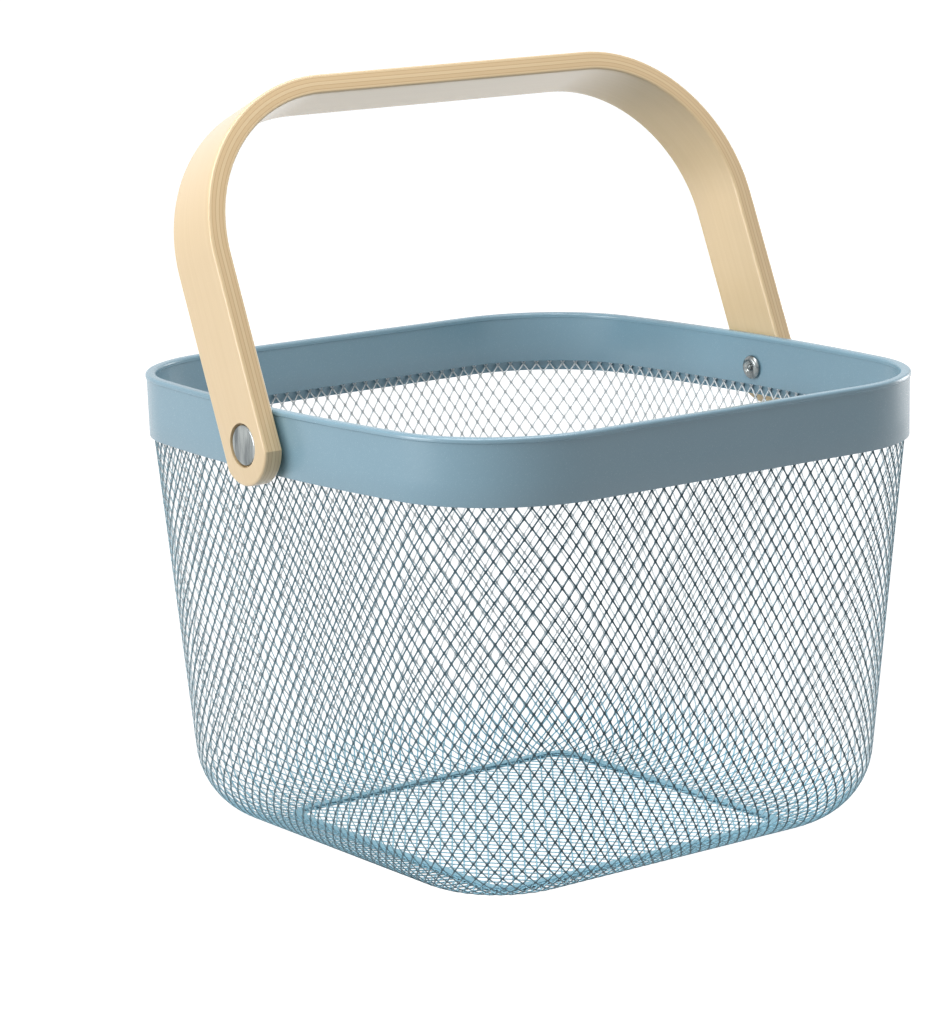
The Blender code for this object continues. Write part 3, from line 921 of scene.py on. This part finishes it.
@dataclass
class BasePanel:
    """The flat panel of the same expanded steel that fills the base strip."""

    edge: Outline = Outline(0.0680, 0.0695, 0.0095)
    height: float = 0.0012
    columns: int = 24
    rows: int = 18
    steel: ExpandedSteel = ExpandedSteel(sheet=0.00018)

    def round_corner(self, vert: BMVert) -> None:
        """Draw a point that lies beyond a corner's centre in to the corner's arc.

        Args:
            vert: The point, on the panel laid flat about the origin.
        """
        beyond_x = max(abs(vert.co.x) - self.edge.half_x + self.edge.corner, 0)
        beyond_y = max(abs(vert.co.y) - self.edge.half_y + self.edge.corner, 0)
        if min(beyond_x, beyond_y) > 0:
            pull = max(beyond_x, beyond_y) / math.hypot(beyond_x, beyond_y)
            vert.co.x -= math.copysign(beyond_x * (1 - pull), vert.co.x)
            vert.co.y -= math.copysign(beyond_y * (1 - pull), vert.co.y)

    def build(self, finishes: Finishes) -> None:
        """Make the panel and open its diamonds.

        Args:
            finishes: The materials that the pieces share.
        """
        bm = self.steel.diamonds(self.columns, self.rows)
        self.steel.join(bm)
        shift(bm, (-0.5, -0.5, 0))
        bmesh.ops.scale(bm, vec=(2 * self.edge.half_x, 2 * self.edge.half_y, 1), verts=bm.verts[:])
        for vert in bm.verts:
            self.round_corner(vert)
        shift(bm, (0, 0, self.height))
        bmesh.ops.reverse_faces(bm, faces=bm.faces[:])
        bm.normal_update()
        self.steel.open(bm, bm.faces[:])
        piece = finish_piece("base_panel_mesh", bm, finishes.mesh_coat,
                             ["base_mesh"], sharp=None)
        add_wall(piece, self.steel.sheet, 0, even=False)


@dataclass
class RimBand:
    """Sheet steel folded over the net's top edge, with a rolled lip a little proud of both skirts."""

    lip: Outline = Outline(0.1204, 0.1252, 0.0525, 0.0043)
    top: float = 0.1800
    lip_width: float = 0.0040
    lip_height: float = 0.0021
    lip_round: float = 0.0011
    lip_proud: float = 0.0004
    lip_steps: int = 8
    crease: float = 0.0002
    sheet: float = 0.0008
    ease_share: float = 0.3
    outer_foot: float = 0.1553
    inner_foot_painted_light: float = 0.1595
    taper: float = 0.0003
    skirt_shares: Point3 = (0.2, 0.6, 1)
    segments: int = 288
    sharp: float = 40

    def profile(self) -> list[Point2]:
        """The band's outer surface: up the outer skirt, over the lip, down the inner skirt.

        Returns:
            Points as (offset outwards, height).
        """
        outer = -self.lip_proud
        inner = self.crease - self.lip_width
        neck = self.top - self.lip_height
        shoulder = self.top - self.lip_round
        right_angle = math.pi / 2
        skirt = [(outer - self.taper * share, mix(neck, self.outer_foot, share))
                 for share in reversed(self.skirt_shares)]
        ledge = [(outer, neck), (0.0, neck + self.lip_proud)]
        front = arc((-self.lip_round, shoulder), self.lip_round, 0, right_angle, self.lip_steps)
        rear = arc((self.lip_round - self.lip_width, shoulder), self.lip_round, right_angle, math.pi,
                   self.lip_steps)
        tuck = [(-self.lip_width, neck + self.crease), (inner, neck)]
        back = [(inner, mix(neck, self.inner_foot_painted_light, share)) for share in self.skirt_shares]
        return skirt + ledge + front + rear + tuck + back

    def build(self, finishes: Finishes) -> None:
        """Sweep the profile round the rim and give it the sheet's thickness.

        Args:
            finishes: The materials that the pieces share.
        """
        bm = swept_sheet(self.profile(), self.lip, self.segments)
        piece = finish_piece("folded_rim_band", bm, finishes.coat, ["rim_band"],
                             sharp=self.sharp)
        add_wall(piece, self.sheet, -1)
        add_eased_edges(piece, self.sheet * self.ease_share)


@dataclass
class BaseStrip:
    """The folded strip that grips the wall's foot outside and the base panel inside."""

    middle: Outline = Outline(0.0690, 0.0705, 0.0105)
    height: float = 0.0017
    reach: float = 0.0017
    web: float = 0.0005
    lip: float = 0.0003
    ease_share: float = 0.35
    segments: int = 160

    def profile(self) -> list[Point2]:
        """The H-shaped section, counterclockwise from the outer foot.

        Returns:
            Points as (offset outwards, height).
        """
        high = self.height - self.lip
        outer = [(self.reach, 0), (self.reach, self.lip), (self.web, self.lip), (self.web, high),
                 (self.reach, high), (self.reach, self.height)]
        inner = [(-offset, height) for offset, height in reversed(outer)]
        return outer + inner + outer[:1]

    def build(self, finishes: Finishes) -> None:
        """Sweep the section round the base.

        Args:
            finishes: The materials that the pieces share.
        """
        bm = swept_sheet(self.profile(), self.middle, self.segments)
        point_outwards(bm)
        piece = finish_piece("folded_base_strip", bm, finishes.strip_coat,
                             ["base_strip"])
        add_eased_edges(piece, self.lip * self.ease_share)


@dataclass
class PivotRivet:
    """One rivet: flat head and tube outside, domed pin inside, washer between band and leg."""

    side: Side
    axis_height: float = 0.1668
    band_inner: float = 0.1164
    leg_outer: float = 0.1288
    head: float = 0.0077
    head_thickness: float = 0.0012
    head_ease: float = 0.0008
    head_chamfer: float = 0.0001
    head_steps: int = 5
    recess: float = 0.0003
    crown: float = 0.00025
    crown_shares: tuple[float, ...] = (0.0, 0.3, 0.6, 0.8)
    tube: float = 0.0030
    pin: float = 0.0015
    pin_length: float = 0.0080
    dome: float = 0.00475
    dome_height: float = 0.0016
    dome_edge: float = 0.0003
    dome_angles: tuple[float, ...] = (15, 30, 45, 60, 75)
    dimple: float = 0.0026
    dimple_depth: float = 0.0006
    dimple_shares: tuple[float, ...] = (0.0, 0.15, 0.4, 0.7, 1.0)
    nub: float = 0.0013
    nub_share: float = 0.95
    nub_rise: float = 0.0001
    nub_steps: int = 6
    washer: float = 0.0060
    washer_inner: float = 0.12015
    washer_outer: float = 0.1209
    gap: float = 0.0003
    steps: int = 64

    def head_profile(self) -> list[Point2]:
        """The flat head with a rounded edge, its tube, and the tube's bore.

        Returns:
            Points as (radius, distance out of the basket).
        """
        top = self.leg_outer - self.recess - self.band_inner
        under = top - self.head_thickness
        edge = arc((self.head - self.head_ease, top - self.head_ease), self.head_ease, math.pi / 2, 0,
                   self.head_steps)
        bore = self.pin + self.gap
        depth = self.pin_length + self.gap
        crown = [(self.head * share, top + self.crown * (1 - share ** 2)) for share in self.crown_shares]
        return [*crown, *edge, (self.head, under + self.head_chamfer), (self.head - self.head_chamfer, under),
                (self.tube, under), (self.tube, 0), (bore, 0), (bore, depth), (0, depth)]

    def pin_profile(self) -> list[Point2]:
        """The pin, its domed head, the dimple in the dome and the nub in the dimple.

        Returns:
            Points as (radius, distance out of the basket).
        """
        seat = -self.gap
        edge = seat - self.dome_edge
        crest = seat - self.dome_height
        floor = crest + self.dimple_depth
        slope = self.dome - self.dimple
        crown = [(self.dome - slope * (1 - math.cos(angle)), mix(edge, crest, math.sin(angle)))
                 for angle in map(math.radians, self.dome_angles)]
        bowl = [(mix(self.dimple, self.nub, share), mix(crest, floor, math.sin(share * math.pi / 2)))
                for share in self.dimple_shares]
        nub = arc((0, floor - self.nub_rise), self.nub * self.nub_share, 0, -math.pi / 2, self.nub_steps)
        return [(0, self.pin_length), (self.pin, self.pin_length), (self.pin, seat), (self.dome, seat),
                (self.dome, edge), *crown, *bowl, *nub]

    def washer_profile(self) -> list[Point2]:
        """The washer's section, closed on itself.

        Returns:
            Points as (radius, distance out of the basket).
        """
        inner = self.washer_inner - self.band_inner
        outer = self.washer_outer - self.band_inner
        bore = self.tube + self.gap
        return [(bore, outer), (self.washer, outer), (self.washer, inner), (bore, inner), (bore, outer)]

    def build(self, finishes: Finishes) -> None:
        """Turn the rivet's three pieces in place.

        Args:
            finishes: The materials that the pieces share.
        """
        label = self.side.name.lower()
        for name, profile, material, slot, node in (
                ("rivet_head", self.head_profile(), finishes.steel, "bright_steel", "rivet_tube"),
                ("rivet_dome", self.pin_profile(), finishes.steel, "bright_steel", "rivet_pin"),
                ("leg_washer", self.washer_profile(), finishes.nylon, "clear_nylon", "spacer_washer")):
            bm = turned(profile, self.steps, self.side, self.band_inner, self.axis_height)
            finish_piece(f"{label}_{name}", bm, material, [f"{label}_{node}"])


@dataclass
class BailHandle:
    """The bent plywood strip, with half-round ends counterbored for the rivet heads."""

    width: float = 0.0276
    thickness: float = 0.0076
    end_radius: float = 0.0152
    leg_inner: float = 0.1212
    reach_inner: float = 0.12619
    bend_inner: float = 0.0576
    axis_height: float = 0.1668
    lean: float = math.radians(22.6)
    bore: float = 0.0033
    counterbore: float = 0.0083
    counterbore_depth: float = 0.0018
    ease: float = 0.0009
    ease_steps: int = 6
    mouth_ease: float = 0.0002
    square_angle: float = 1.0
    end_steps: int = 48
    bend_steps: int = 28
    leg_shares: Point2 = (0.5, 1.0)
    bar_shares: Point3 = (0.66, 0.33, 0.0)
    sharp: float = 20

    def __post_init__(self) -> None:
        """Work out the strip's middle line: half the bar, one bend, one leg."""
        self.half_width = self.width / 2
        self.bend = self.bend_inner + self.thickness / 2
        self.span = self.leg_inner + self.thickness / 2
        self.reach = self.reach_inner + self.thickness / 2
        self.bar_half = self.span - self.bend
        self.bend_length = self.bend * math.pi / 2
        self.leg_length = self.reach - self.bend
        self.half_length = self.bar_half + self.bend_length + self.leg_length

    def grow(self, bm: BMesh, edges: list[BMEdge]) -> list[BMEdge]:
        """Grow a row of faces from a row of edges.

        Args:
            bm: The mesh.
            edges: The row to grow from.

        Returns:
            The new row's edges, still in the old row's place.
        """
        grown = bmesh.ops.extrude_edge_only(bm, edges=edges)["geom"]
        return [item for item in grown if isinstance(item, BMEdge)
                and all(vert in grown for vert in item.verts)]

    def strip_end(self, bm: BMesh) -> list[BMEdge]:
        """Lay the rings round one rivet hole, out to the half-round end and a straight cross edge.

        Args:
            bm: The mesh that takes the rings.

        Returns:
            The cross edge's edges, from which the strip goes on.
        """
        bmesh.ops.create_circle(bm, segments=self.end_steps, radius=self.bore)
        ring = bm.edges[:]
        for radius in (self.counterbore - self.mouth_ease, self.counterbore, None):
            ring = self.grow(bm, ring)
            for vert in dict.fromkeys(vert for edge in ring for vert in edge.verts):
                direction = Vector((vert.co.x, vert.co.y, 0)).normalized()
                vert.co = direction * (radius or self.outline_radius(direction))
        crease = math.sqrt(self.end_radius ** 2 - self.half_width ** 2)
        for side in (-self.half_width, self.half_width):
            nearest = min(bm.verts, key=lambda vert: (vert.co - Vector((crease, side, 0))).length)
            nearest.co.x = crease
            nearest.co.y = side
        shift(bm, (self.half_length, 0, 0))
        edge_x = self.half_length - self.half_width
        return [edge for edge in ring if all(abs(vert.co.x - edge_x) < MERGE_DISTANCE for vert in edge.verts)]

    def outline_radius(self, direction: Vector) -> float:
        """How far from a rivet the strip's outline lies: the round end, the sides, or the cross edge.

        Args:
            direction: A unit direction on the flat strip, X towards its end.

        Returns:
            The distance.
        """
        if direction.x < 0:
            return self.half_width / max(abs(direction.x), abs(direction.y))
        return min(self.end_radius, self.half_width / max(abs(direction.y), MERGE_DISTANCE))

    def flat_strip(self) -> BMesh:
        """The strip laid flat, solid and eased: X along it, Y across, Z out of the bail.

        Returns:
            The strip, not yet bent.
        """
        bm = bmesh.new()
        cross = self.strip_end(bm)
        bend_end = self.half_length - self.leg_length
        stations = [mix(self.half_length - self.half_width, bend_end, share) for share in self.leg_shares]
        stations += [bend_end - self.bend_length * step / self.bend_steps
                     for step in range(1, self.bend_steps + 1)]
        stations += [self.bar_half * share for share in self.bar_shares]
        for station in stations:
            cross = self.grow(bm, cross)
            for vert in dict.fromkeys(vert for edge in cross for vert in edge.verts):
                vert.co.x = station
        bmesh.ops.mirror(bm, geom=bm.verts[:] + bm.edges[:] + bm.faces[:], matrix=Matrix.Identity(4),
                         merge_dist=MERGE_DISTANCE, axis="X")
        merge(bm)
        point_outwards(bm)
        bmesh.ops.solidify(bm, geom=bm.faces[:], thickness=self.thickness)
        heights = [vert.co.z for vert in bm.verts]
        shift(bm, (0, 0, -(max(heights) + min(heights)) / 2))
        point_outwards(bm)
        corners = [edge for edge in bm.edges if self.is_outer_corner(edge)]
        bmesh.ops.bevel(bm, geom=corners, offset=self.ease, affect="EDGES", segments=self.ease_steps,
                        profile=0.5, material=-1)
        for vert in bm.verts:
            if vert.co.z > 0 and self.from_rivet(vert.co) < self.counterbore - self.mouth_ease / 2:
                vert.co.z -= self.counterbore_depth
        return bm

    def from_rivet(self, point: Vector) -> float:
        """Return a point's distance from the nearer rivet's axis, on the flat strip."""
        return math.hypot(abs(point.x) - self.half_length, point.y)

    def is_outer_corner(self, edge: BMEdge) -> bool:
        """Whether an edge runs along the strip's outline, where face and side meet."""
        square = len(edge.link_faces) == 2 and edge.calc_face_angle() > self.square_angle
        return square and all(self.from_rivet(vert.co) > self.counterbore + self.ease for vert in edge.verts)

    def bent(self, point: Vector) -> Vector:
        """Where a point of the flat strip lies once the strip is bent and leaning in its rivets.

        Args:
            point: X along the strip, Y across it, Z out of the bail.

        Returns:
            The point in the basket's frame.
        """
        side = math.copysign(1, point.x)
        length = abs(point.x)
        if length <= self.bar_half:
            place = Vector((point.x, point.y, self.reach + point.z))
        elif length <= self.bar_half + self.bend_length:
            angle = (length - self.bar_half) / self.bend
            radius = self.bend + point.z
            place = Vector((side * (self.bar_half + radius * math.sin(angle)), point.y,
                            self.leg_length + radius * math.cos(angle)))
        else:
            place = Vector((side * (self.span + point.z), point.y, self.half_length - length))
        return Matrix.Rotation(-self.lean, 3, "X") @ place + Vector((0, 0, self.axis_height))

    def build(self, finishes: Finishes) -> None:
        """Bend the strip, keeping its flat place as an attribute for the grain and the plies.

        Args:
            finishes: The materials that the pieces share.
        """
        bm = self.flat_strip()
        layer = bm.verts.layers.float_vector.new(STRIP_PLACE)
        for vert in bm.verts:
            vert[layer] = vert.co
            vert.co = self.bent(vert.co)
        finish_piece("bent_plywood_handle", bm, finishes.plywood, ["handle"],
                     Body.BAIL, sharp=self.sharp)


@dataclass(frozen=True)
class SoftBox:
    """A rectangular studio lamp that faces a target.

    Its level is its light on a surface that faces it at the target, where one shows a colour as
    it is written.
    """

    name: str
    place: Point3
    size: Point2
    level: float
    target: Point3 = (0, 0, 0.11)

    def hang(self) -> None:
        """Hang the lamp in the scene."""
        light = bpy.data.lights.new(self.name, "AREA")
        light.shape = "RECTANGLE"
        light.size, light.size_y = self.size
        reach = Vector(self.place) - Vector(self.target)
        light.energy = self.level * math.pi ** 2 * reach.length_squared
        lamp = put_in_scene(self.name, light)
        lamp.location = self.place
        lamp.rotation_euler = reach.to_track_quat("Z", "Y").to_euler()


@dataclass
class Studio:
    """White paper floor, soft boxes overhead, to the left and to the right, and the camera."""

    floor_size: float = 16.0
    floor_cells: int = 8
    paper: StudioPaper = StudioPaper()
    sky: float = 0.20
    lamps: tuple[SoftBox, ...] = (
        SoftBox("top_softbox", (-0.15, -0.10, 0.76), (0.38, 1.00), 1.34, target=(0, -0.10, 0.18)),
        SoftBox("left_softbox", (-2.6, 0.8, 0.4), (1.3, 1.3), 0.55),
        SoftBox("right_softbox", (1.5, 0.1, 0.3), (0.6, 0.6), 0.25),
    )
    aim: Point3 = (-0.0151, 0.0190, 0.1230)
    distance: float = 1.422
    azimuth: float = math.radians(-36.04)
    elevation: float = math.radians(11.478)
    roll: float = math.radians(-1.631)
    lens: float = 128.29

    def floor(self) -> None:
        """Lay pale paper that looks white to the camera and still takes the basket's shadow."""
        bm = bmesh.new()
        bmesh.ops.create_grid(bm, x_segments=self.floor_cells, y_segments=self.floor_cells,
                              size=self.floor_size / 2)
        mesh = bpy.data.meshes.new("paper_floor")
        bm.to_mesh(mesh)
        bm.free()
        mesh.materials.append(self.paper.material())
        put_in_scene("paper_floor", mesh)

    def sky_light(self) -> None:
        """Fill the room with even light, and show it white to the camera and in reflections."""
        world = bpy.data.worlds.new("studio_room")
        world.use_nodes = True
        tree = world.node_tree
        tree.nodes.clear()
        strength = add_node(tree, "MapRange", {"Value": seen_directly(tree), TO: (self.sky, 1.0)})
        sky = add_node(tree, "Background", {"Color": WHITE, "Strength": strength})
        add_node(tree, "OutputWorld", {"Surface": sky})
        bpy.context.scene.world = world

    def camera(self) -> None:
        """Set the camera at the photograph's angle."""
        data = bpy.data.cameras.new("camera")
        data.lens = self.lens
        camera = put_in_scene("camera", data)
        turn = (Matrix.Rotation(self.azimuth, 4, "Z") @ Matrix.Rotation(math.pi / 2 - self.elevation, 4, "X")
                @ Matrix.Rotation(self.roll, 4, "Z"))
        back = turn.to_3x3() @ Vector((0, 0, self.distance))
        camera.matrix_world = Matrix.Translation(Vector(self.aim) + back) @ turn
        bpy.context.scene.camera = camera

    def build(self) -> None:
        """Set up the floor, the light and the camera."""
        bpy.context.scene.view_settings.view_transform = "Standard"
        self.floor()
        self.sky_light()
        for lamp in self.lamps:
            lamp.hang()
        self.camera()


def main() -> None:
    """Build every piece of the basket in order, then the studio."""
    logging.basicConfig(level=logging.INFO, format="%(name)s: %(message)s")
    finishes = Finishes.make()
    for part in (Tub(), BasePanel(), RimBand(), BaseStrip(), BailHandle(), *map(PivotRivet, Side)):
        part.build(finishes)
    Studio().build()


if __name__ == "__main__":
    main()
